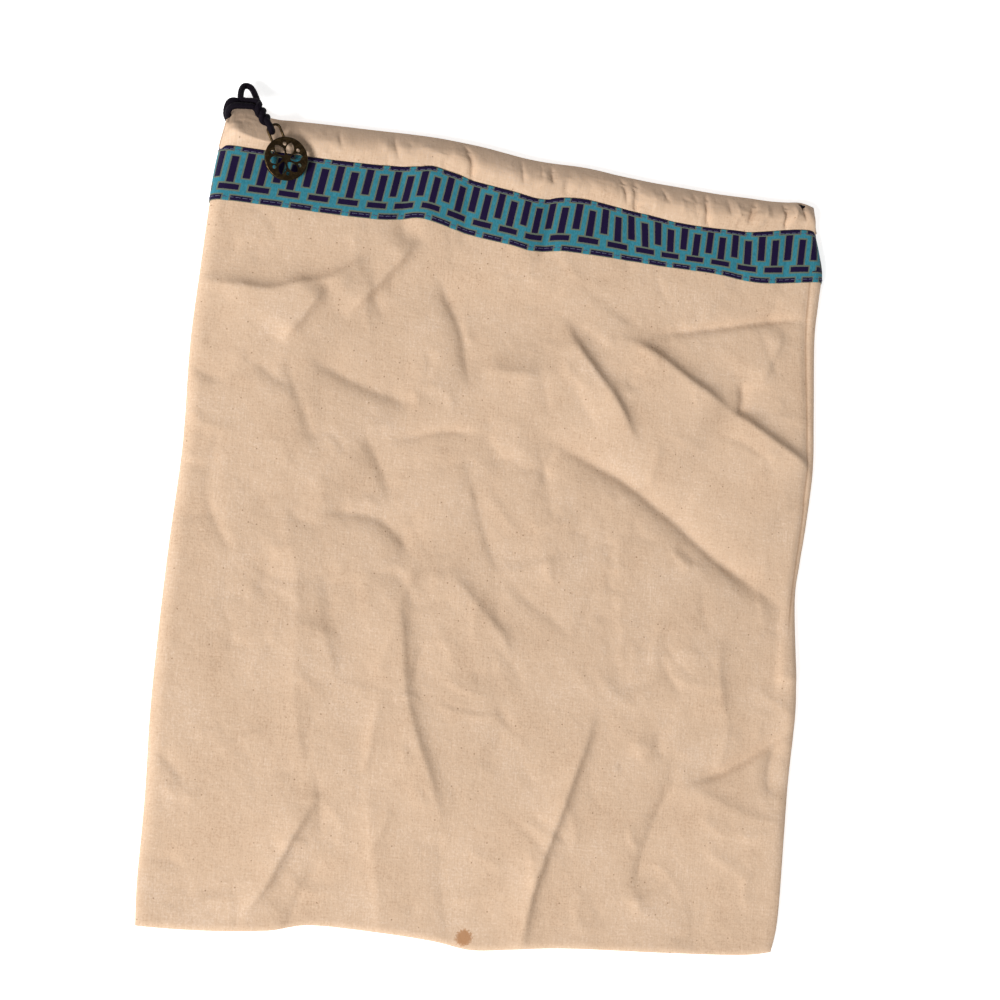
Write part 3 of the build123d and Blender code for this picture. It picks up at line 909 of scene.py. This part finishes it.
def ribbon_places(points):
    """Run along and width across the ribbon, for its pattern."""
    x, y = points[..., 0], points[..., 1]
    share = np.linspace(0, 1, points.shape[0])[:, None]
    width = share * RIBBON_WIDTH
    lean = graph(RIBBON_LEAN)(x)
    repeats = np.array(REPEATS_AT)
    run = np.interp(x - lean * (width - RIBBON_WIDTH / 2), repeats[:, 0], repeats[:, 1]) * REPEAT
    run = run + SEAM_SHIFT * (x > SEAM_SHIFT_X)
    steps = np.linalg.norm(np.diff(points, axis=1), axis=2)
    arc = np.hstack([np.zeros((len(points), 1)), np.cumsum(steps, axis=1)])
    for rim, start in ((slice(0, RIM_COLUMNS), RIM_COLUMNS), (slice(-RIM_COLUMNS, None), -RIM_COLUMNS - 1)):
        run[:, rim] = run[:, [start]] + arc[:, rim] - arc[:, [start]]
    return np.stack([run, np.broadcast_to(width, run.shape)], -1)


def ribbon_grid(level_at, equator, step, rows):
    """Points of the cloth under the ribbon, with its side rims."""
    offset, width, level = columns(step)
    share = np.linspace(0, 1, rows)
    x = across_places(RIBBON_Y + RIBBON_DEPTH * share, offset, width)
    foot, head = ribbon_foot(x), ribbon_head(x)
    y = foot + share[:, None] * (head - foot)
    z = with_rim(level_at(x, y), np.broadcast_to(level, x.shape), equator)
    return np.stack([x, y, z], -1)


def ribbon_surface(front):
    """Outer face of the front or back ribbon as a grid of points, with its normals."""
    if front:
        points = ribbon_grid(front_level, FRONT_EQUATOR, RIBBON_CELL, RIBBON_ROWS)
        normals = grid_normals(points)
        return points + RIBBON_LIFT * normals, normals
    points = ribbon_grid(back_level, BACK_EQUATOR, BACK_RIBBON_CELL, BACK_RIBBON_ROWS)
    normals = -grid_normals(points)
    return points + BACK_RIBBON_LIFT * normals, normals


def add_ribbons(material):
    surfaces = {}
    for name, front in (("front_ribbon", True), ("back_ribbon", False)):
        points, normals = ribbon_surface(front)
        piece = add_sheet(f"{name}_weave", points, ribbon_places(points), material, flip=not front)
        thicken(piece, RIBBON_THICKNESS)
        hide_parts(name)
        gathers(piece)
        name.split("_")[0] + "_cloth"
        surfaces[name] = (points, normals)
    return surfaces


# Stitches

STITCH_INSET = 1.8        # stitch rows to the ribbon's edges
STITCH_POINTS = 7
STITCH_SIDES = 8
SIDE_SEAM_Y = (-192, 180)
END_SEAM_X = (-154, 152)
SEAM_PROUD = 0.1          # how far the seam stitches stand out of the groove


def stitches(line, normals, length, gap, radius, lift):
    """Points, faces and places of a row of stitches that dip into the cloth at both ends."""
    run = np.r_[0, np.cumsum(np.linalg.norm(np.diff(line, axis=0), axis=1))]
    points, faces, places = [], [], []
    first = 0
    at = gap
    while at + length < run[-1]:
        share = np.linspace(0, 1, STITCH_POINTS)
        here = at + length * share
        middle = np.stack([np.interp(here, run, line[:, k]) for k in range(3)], 1)
        up = np.stack([np.interp(here, run, normals[:, k]) for k in range(3)], 1)
        bow = (np.sin(np.pi * share) ** 0.6 * (lift + radius) - radius)[:, None]
        ring, quads, spot = tube_parts(middle + up * bow, radius, STITCH_SIDES, first)
        points.append(ring)
        faces += quads
        places.append(spot)
        first += len(ring)
        at += length + gap
    return np.vstack(points), faces, np.vstack(places)


def add_stitches(name, line, normals, material, nodes, length=2.7, gap=0.7, radius=0.2, lift=0.16):
    points, faces, places = stitches(line, normals, length, gap, radius, lift)
    piece = add_mesh(name, points, faces, material, places)
    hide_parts(*nodes)
    gathers(piece)


def add_ribbon_stitches(surfaces, material):
    for ribbon, (points, normals) in surfaces.items():
        rows = points.shape[0]
        for row, share in (("bottom", STITCH_INSET / RIBBON_WIDTH), ("top", 1 - STITCH_INSET / RIBBON_WIDTH)):
            at = share * (rows - 1)
            low, part = int(at), at - int(at)
            line = points[low] * (1 - part) + points[low + 1] * part
            up = normals[low] * (1 - part) + normals[low + 1] * part
            node = f"{ribbon}_{row}_thread"
            add_stitches(f"{node}_stitches", line, up, material, [node], radius=0.16)


def add_seam_stitches(material):
    """Stitches in the grooves of the side and end seams."""
    y = np.linspace(*SIDE_SEAM_Y, 400)
    tucked = 1 - math.cos(math.radians(TUCK))
    side_inset, end_inset = RIM * tucked - SEAM_PROUD, END_RIM * tucked - SEAM_PROUD
    level = np.full_like(y, SEAM_LEVEL)
    left = np.stack([left_edge(y) + side_inset, y, level], 1)
    right = np.stack([right_edge(y) - side_inset, y, level], 1)
    x = np.linspace(*END_SEAM_X, 360)
    bottom = np.stack([x, bottom_edge(x) + end_inset, np.full_like(x, SEAM_LEVEL)], 1)
    sides = {"left": (left, (-1.0, 0, 0)), "right": (right, (1.0, 0, 0)), "bottom": (bottom, (0, -1.0, 0))}
    for side, (line, outward) in sides.items():
        normals = np.broadcast_to(outward, line.shape)
        add_stitches(f"{side}_seam_stitches", line, normals, material,
                     [f"{side}_seam_thread", f"{side}_seam_allowance"], gap=1.0)


# Casings

# Pleats of the casing, as creases of its outer face
PLEATS = [
    (-2.6, 1.0, 1.2, [(-39, 201), (-35, 194), (-32.5, 188), (-31.5, 178)]),
    (-1.2, 0.8, 1.2, [(-6, 200), (-6.5, 192), (-5, 180)]),
    (-1.8, 1.0, 1.2, [(10, 199), (9.5, 192), (10, 182)]),
    (-0.9, 0.8, 0.8, [(3, 199), (4, 192), (4, 184)]),
    (-2.0, 0.8, 1.2, [(43, 198), (47, 192), (49.5, 186), (51, 178)]),
    (-3.0, 1.0, 1.0, [(54, 198), (54.5, 190), (55.5, 183), (56.5, 174)]),
    (-2.3, 0.8, 1.0, [(94.5, 196), (94, 190), (94.2, 184), (96, 172)]),
    (-1.1, 1.2, 1.2, [(104, 197), (106, 190), (108, 180)]),
    (-3.2, 0.8, 1.6, [(125, 197), (122, 192), (120.5, 186), (117, 178)]),
    (1.4, 1.8, 2.4, [(129, 198), (128, 190), (127, 181)]),
    (-3.3, 1.2, 0.8, [(137, 198), (138, 191), (139, 186), (139, 178)]),
    (1.8, 1.2, 1.2, [(143, 198), (144, 190), (143, 182)]),
    (-2.3, 0.8, 0.8, [(149.5, 198), (149, 191), (150.5, 184)]),
    (2.0, 3.6, 1.3, [(-164, 188.8), (-157, 187), (-151, 184.8), (-145, 183.2), (-137, 182), (-126, 181.6)]),
    (-0.5, 1.2, 1.4, [(-155, 190.5), (-151.5, 194.5), (-145, 196.5)]),
    (-0.5, 1.1, 1.3, [(-157, 189.5), (-152, 191.5), (-148, 191.5)]),
    (0.6, 1.0, 1.2, [(-156, 193.5), (-152.5, 196.5), (-147, 198)]),
    (-0.9, 1.2, 1.2, [(-100, 200), (-101, 192), (-99, 184)]),
    (-1.1, 1.2, 1.2, [(-72, 201), (-73, 193), (-70, 184)]),
    (-0.9, 0.8, 1.2, [(68, 196), (70, 189), (74, 182)]),
    (0.9, 1.2, 1.2, [(112, 196), (111, 188), (113, 180)]),
]

CASING_CREASES = small_creases(220, 21, y_range=(176, 198), headings=(1.1, 2.1), lengths=(2, 7))

# Outer face of the casing from the ribbon to the lip: share of the way, and height above the foot
CASING_FACE = [(-0.12, -0.6), (0.0, 0.0), (0.1, 1.0), (0.2, 2.0), (0.3, 2.8), (0.4, 3.25), (0.5, 3.1),
               (0.6, 2.45), (0.7, 1.55), (0.8, 0.4), (0.9, -1.0), (0.96, -2.1), (1.0, -3.3)]
CREST = 0.42              # share of the way where the face is highest
CREST_AT = [(-170, 0.5), (-157, 0.48), (-151, 0.31), (-145, 0.22), (-137, 0.18), (-128, 0.27),
            (-116, 0.4), (-100, CREST), (170, CREST)]
CASING_CELL = 0.55
CASING_ROWS = 40
LIP_ROWS = 7
LINING_ROWS = 12
LIP_BULGE = 0.02          # share of the way by which the fold stands out past the lip
CASING_START = 178        # about, of the casing's foot
CASING_DEPTH = 18
RUN_START = 180           # the place map's run over the cloth starts from this
CASING_FOOT_LEVEL = 9.7
CASING_LEAST = 10.7       # the front casing stays about this high over the cord
LIP_LEAST = 6.5           # and about this high near the lip
CORD_SHARES = (0.2, 0.8)  # the cord lies between these shares of the way
CORD_FADE = 0.12
LEAST_SOFTNESS = 0.2
CASING_LINING = 5.9       # height of the front casing's inner wall
BACK_CASING_LINING = 4.4
BACK_CASING_BULGE = 0.12  # the back casing bulges this much of what the front one does
CASING_SEAM = 5.2         # height where the two casings meet at the closed ends
BODY_SHARE = 0.25         # part of the body's creases that goes on in the casing
OPEN_FROM = (0.42, 0.66)  # shares of the way between which the left end opens
HEM_DROP = 0.3            # share of its height by which the hem of the open end comes down
BACK_LIP_INSET = 0.8

# Pleats: no deeper than about this, shares of the way over which they all fade towards the lip and
# ridges fade towards the ribbon
PLEAT_LEAST = -2.1
PLEAT_SOFTNESS = 0.25
PLEAT_LIP_FADE = (1.0, 0.55)
RIDGE_FOOT_FADE = (0.02, 0.17)

# Small slit at the right end of the front casing, widest towards the lip
SLIT_X = 148.4
SLIT_FOOT = 190.4
SLIT_HEAD = 195.0
SLIT_HALF = 1.3
SLIT_END = 1.2            # length over which it closes again past its head
SLIT_REACH = 2            # how far beside it the cloth is moved


def casing_heights(share, x):
    """Height of the front casing's outer face above its foot."""
    crest = graph(CREST_AT)(x)
    below = share / crest * CREST
    above = CREST + (share - crest) / (1 - crest) * (1 - CREST)
    return graph(CASING_FACE)(np.where(share < crest, below, above))


def open_slit(x, y, outer):
    """Points moved apart beside the slit, and the column of faces that it takes out in each row."""
    column = int(np.argmin(np.abs(x[outer.sum() // 2] - SLIT_X)))
    wide = SLIT_HALF * np.clip((y - SLIT_FOOT) / (SLIT_HEAD - SLIT_FOOT), 0, 1) * outer[:, None]
    wide *= 1 - smooth((y - SLIT_HEAD) / SLIT_END)
    beside = x - (x[:, column:column + 1] + x[:, column + 1:column + 2]) / 2
    rows = np.nonzero(wide[:-1, column] * wide[1:, column] > 0)[0]
    taken = {(row, column) for row in rows if y[row + 1, column] < SLIT_HEAD}
    return x + np.sign(beside) * wide * np.exp(-np.abs(beside) / SLIT_REACH), taken


def casing_grid(front):
    """Points, places and open faces of one casing: its outer face, round the lip, and its inner wall."""
    offset, width, level = columns(CASING_CELL)
    outer_share = np.linspace(CASING_FACE[0][0], 1, CASING_ROWS)
    lip_turn = np.radians(np.linspace(0, 180, LIP_ROWS + 2)[1:-1])
    inner_share = np.r_[1 + LIP_BULGE * np.sin(lip_turn), np.linspace(1 - LIP_BULGE, 0, LINING_ROWS)]
    inner_level = np.r_[np.linspace(0.1, 1, LIP_ROWS), np.ones(LINING_ROWS)]
    shares = np.r_[outer_share, inner_share][:, None]
    outer = np.arange(len(shares)) < len(outer_share)
    x = across_places(CASING_START + CASING_DEPTH * np.clip(shares[:, 0], 0, 1), offset, width)
    foot, lip = ribbon_head(x), casing_lip(x) - (0 if front else BACK_LIP_INSET)
    y = foot + shares * (lip - foot)
    taken = set()
    heights = casing_heights(np.minimum(shares, 1) + 0 * x, x)
    if front:
        x, taken = open_slit(x, y, outer)
        pleats = sum(crease(x, y, *pleat) for pleat in PLEATS + CASING_CREASES)
        pleats = soft_floor(pleats, PLEAT_LEAST, PLEAT_SOFTNESS) * outer[:, None]
        pleats = pleats * risen(shares, *PLEAT_LIP_FADE)
        pleats = np.where(pleats > 0, pleats * risen(shares, *RIDGE_FOOT_FADE), pleats)
        z = CASING_FOOT_LEVEL + heights + BODY_SHARE * looked_up(front_map, x, y) + pleats
        before, after = shares - CORD_SHARES[0], CORD_SHARES[1] - shares
        over_cord = smooth(before / CORD_FADE) * smooth(after / CORD_FADE)
        z = soft_floor(z, LIP_LEAST + (CASING_LEAST - LIP_LEAST) * over_cord, LEAST_SOFTNESS)
        lining = CASING_LINING
    else:
        z = BACK_LEVEL + BACK_STEP - BACK_CASING_BULGE * heights
        lining = BACK_CASING_LINING
    turn_in = np.r_[np.zeros(len(outer_share)), inner_level][:, None]
    z = z * (1 - turn_in) + lining * turn_in
    closed = np.clip(level, 0, 1)[None, :]
    hem = 1 - HEM_DROP * np.clip(-level, 0, 1)[None, :]
    opened = risen(shares, *OPEN_FROM)
    left = closed * (1 - opened) + hem * opened
    z = CASING_SEAM + (z - CASING_SEAM) * np.where(width[None, :] > 0.5, closed, left)
    rises = np.diff(heights[:, len(width) // 2])
    run = RUN_START + np.cumsum(np.r_[0, np.hypot(np.diff(shares[:, 0]) * CASING_DEPTH, rises)])
    places = np.stack([x, np.broadcast_to(run[:, None], x.shape)], -1)
    return np.stack([x, y, z], -1), places, taken


def add_casings(material):
    for side in ("front", "back"):
        points, places, taken = casing_grid(side == "front")
        piece = add_sheet(f"{side}_casing_cloth", points, places, material, side == "back", taken)
        thicken(piece, CLOTH)
        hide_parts(f"{side}_casing")
        gathers(piece)


# Drawstring

CORD = 3.1
BRAID_RIDGES = 6
BRAID_PITCH = 9.5
BRAID_RELIEF = 0.22
CORD_STEP = 0.25
CORD_SIDES = 36
INNER_STEP = 0.8
INNER_SIDES = 16

EXIT_FRONT = (-154.2, 193.0, 7.8)
EXIT_BACK = (-154.8, 192.8, 2.6)
TWIST_START = np.array((-143.8, 199.1, 16.4))
TWIST_END = np.array((-138.3, 191.1, 18.2))
TWIST_TURNS = 1.25
TWIST_RADIUS = 1.62
TWIST_STEPS = 8           # points in a turn


def braid(run, turn):
    """Radius of the braided cord: two sets of strands that wind round it both ways."""
    one = BRAID_RIDGES * (turn + 2 * np.pi * run / BRAID_PITCH)
    other = BRAID_RIDGES * (turn - 2 * np.pi * run / BRAID_PITCH)
    over = (np.floor(one / (2 * np.pi)) + np.floor(other / (2 * np.pi))) % 2 > 0.5
    ridge = np.where(over, np.abs(np.sin(one / 2)), np.abs(np.sin(other / 2)))
    return CORD / 2 - BRAID_RELIEF + BRAID_RELIEF * np.sqrt(ridge)


def twist_strand(phase):
    """Route of one strand of the twist, from its start to its end."""
    axis = TWIST_END - TWIST_START
    along = axis / np.linalg.norm(axis)
    up = np.array((0, 0, 1.0)) - along[2] * along
    up /= np.linalg.norm(up)
    side = np.cross(along, up)
    route = []
    count = round(TWIST_TURNS * TWIST_STEPS)
    for k in range(count + 1):
        share = k / count
        turn = phase + 2 * math.pi * TWIST_TURNS * (share - 1)
        place = TWIST_START + axis * share + TWIST_RADIUS * (math.cos(turn) * up + math.sin(turn) * side)
        route.append(tuple(place))
    return route


def free_cord_route():
    """Out of the front casing, over the corner, down the twist, round the bail and all the way back."""
    out = [EXIT_FRONT, (-156.3, 193.7, 8.8), (-157.2, 194.9, 11.2), (-156.3, 196.6, 14.4),
           (-154.2, 197.5, 15.8), (-151.2, 197.7, 16.1), (-148.0, 198.0, 16.2)]
    bight = [(-137.0, 191.0, 16.4), (-135.6, 189.0, 15.8), (-134.8, 187.2, 16.6), (-135.1, 186.2, 18.3),
             (-135.8, 186.6, 20.0), (-136.8, 188.4, 20.8), (-138.1, 190.6, 20.4)]
    loop = [(-143.6, 201.7, 15.4), (-146.4, 201.7, 14.0), (-149.6, 201.4, 13.3), (-151.6, 202.6, 12.6),
            (-151.6, 205.6, 10.5), (-151.2, 209.0, 8.2), (-150.0, 211.5, 6.8), (-147.2, 211.5, 6.7),
            (-145.5, 209.2, 8.0), (-144.2, 205.8, 10.0), (-143.0, 202.9, 11.2), (-145.2, 201.0, 10.8),
            (-149.5, 200.6, 11.0)]
    back = [(-154.2, 201.4, 12.6), (-156.9, 200.3, 12.6), (-157.8, 197.6, 9.8), (-157.4, 194.6, 5.4),
            EXIT_BACK]
    return out + twist_strand(math.pi) + bight + twist_strand(0)[::-1] + loop + back


INNER_CORD = [EXIT_FRONT, (-140, 190.5, 8.2), (-100, 188.5, 8.2), (-50, 192, 8.2), (0, 185.5, 8.2),
              (50, 186, 8.2), (100, 183.5, 8.2), (135, 187, 8.2), (146, 192.2, 8.2), (150.2, 193.0, 8.0),
              (152.0, 192.6, 5.6), (150.2, 192.0, 2.6), (140, 190, 2.4), (100, 187, 2.4), (0, 188, 2.4),
              (-100, 190, 2.4), EXIT_BACK]


def add_drawstring(material):
    line = spline_line(free_cord_route(), CORD_STEP)
    tail = add_tube("drawstring_braid", line, braid, CORD_SIDES, material)
    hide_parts("drawstring_exit_bend", "drawstring_tail", "drawstring_knot", "drawstring_bight")
    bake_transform(tail)
    hidden = spline_line(INNER_CORD, INNER_STEP)
    inner = add_tube("drawstring_inner_braid", hidden, CORD / 2 - 0.05, INNER_SIDES, material)
    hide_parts("drawstring_inner")
    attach(inner, "drawstring")


add_drawstring(braided_cord())
add_panels()
casing_cotton = cotton_cloth("casing_cotton", wear_and_shade=True)
add_casings(casing_cotton)
ribbon_surfaces = add_ribbons(woven_ribbon())
add_ribbon_stitches(ribbon_surfaces, thread("ribbon_thread", linear(74, 74, 108), linear(124, 126, 156)))
add_seam_stitches(thread("seam_thread", linear(205, 176, 146), linear(236, 214, 188)))


# Charm

def finish_charm():
    brass = antique_brass()
    for node in ("charm_medallion", "charm_bail"):
        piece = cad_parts[node]
        piece.data.materials.clear()
        piece.data.materials.append(brass)
        edge = piece.modifiers.new("worn edge", "BEVEL")
        edge.width = 0.25 * MM
        edge.segments = 2


finish_charm()


# Floor and light, in metres and watts

FLOOR_HALF = 6.0
FLOOR_LEVEL = -0.0005
FLOOR_GLOW = 0.66
SKY_COLOUR = (1.0, 0.995, 0.985, 1)
SKY_STRENGTH = 0.3
KEY_PLACE = (-3.08, -2.78, 3.61)
KEY_SIZE = 1.5
KEY_POWER = 307


def add_floor():
    corners = np.array([(-1, -1, 0), (1, -1, 0), (1, 1, 0), (-1, 1, 0)]) * FLOOR_HALF / MM
    paint = Paint("floor", roughness=0.9, specular=0.2)
    paint.colour((0.9, 0.9, 0.9, 1))
    paint.shader.inputs["Emission Color"].default_value = (1, 1, 1, 1)
    paint.shader.inputs["Emission Strength"].default_value = FLOOR_GLOW
    floor = add_mesh("floor", corners, [[0, 1, 2, 3]], paint.material)
    floor.location.z = FLOOR_LEVEL


def add_sky():
    world = bpy.data.worlds.new("studio")
    world.use_nodes = True
    background = world.node_tree.nodes["Background"]
    background.inputs["Color"].default_value = SKY_COLOUR
    background.inputs["Strength"].default_value = SKY_STRENGTH
    bpy.context.scene.world = world


def add_key_light():
    """A soft square light that faces the middle of the bag."""
    light = bpy.data.lights.new("key", "AREA")
    light.shape = "SQUARE"
    light.size = KEY_SIZE
    light.energy = KEY_POWER
    lamp = bpy.data.objects.new("key", light)
    bpy.context.scene.collection.objects.link(lamp)
    lamp.location = KEY_PLACE
    lamp.rotation_euler = (-Vector(KEY_PLACE)).to_track_quat("-Z", "Y").to_euler()


add_floor()
add_sky()
add_key_light()
bpy.context.scene.view_settings.view_transform = "Standard"
